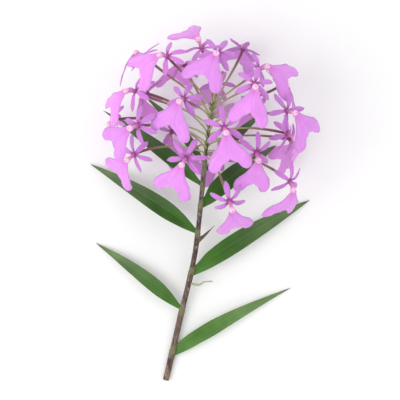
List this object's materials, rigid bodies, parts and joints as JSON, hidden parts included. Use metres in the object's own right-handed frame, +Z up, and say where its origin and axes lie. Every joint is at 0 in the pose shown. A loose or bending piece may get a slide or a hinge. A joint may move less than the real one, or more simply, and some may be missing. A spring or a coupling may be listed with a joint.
{
  "type": "epidendrum orchid flower",
  "caption": "Cut reed-stemmed epidendrum orchid lying down: a leafy cane that ends in a loose round head of small lilac florets with forked lips.",
  "frame": {"origin": "middle of the footprint of the whole flower as it lies, on the surface it lies on", "axes": "+Y runs from the cut end of the cane towards the flower head, +X to the right seen from above, +Z up"},
  "size_m": [0.1726, 0.2722, 0.1242],
  "materials": {
    "floret_lilac": "soft petal, matt with a faint sheen",
    "leaf_green": "smooth and slightly waxy",
    "cane_purple_brown": "satin skin with dry sheaths",
    "bud_pink_green": "soft, slightly waxy"
  },
  "bodies": {
    "root": {"bud_1": "bud_pink_green", "bud_2": "bud_pink_green", "bud_3": "bud_pink_green", "bud_4": "bud_pink_green", "bud_5": "bud_pink_green", "cane": "cane_purple_brown", "floret_01": "floret_lilac", "floret_02": "floret_lilac", "floret_03": "floret_lilac", "floret_04": "floret_lilac", "floret_05": "floret_lilac", "floret_06": "floret_lilac", "floret_07": "floret_lilac", "floret_08": "floret_lilac", "floret_09": "floret_lilac", "floret_10": "floret_lilac", "floret_11": "floret_lilac", "floret_12": "floret_lilac", "floret_13": "floret_lilac", "floret_14": "floret_lilac", "floret_15": "floret_lilac", "floret_16": "floret_lilac", "floret_17": "floret_lilac", "floret_18": "floret_lilac", "floret_19": "floret_lilac", "floret_20": "floret_lilac", "floret_21": "floret_lilac", "floret_22": "floret_lilac", "floret_23": "floret_lilac", "floret_24": "floret_lilac", "floret_25": "floret_lilac", "floret_26": "floret_lilac", "floret_27": "floret_lilac", "leaf_1_right": "leaf_green", "leaf_2_left": "leaf_green", "leaf_3_right": "leaf_green", "leaf_4_left": "leaf_green", "leaf_5_right": "leaf_green", "leaf_6_left": "leaf_green", "leaf_7_right": "leaf_green", "leaf_8_left": "leaf_green"}
  },
  "joints": []
}
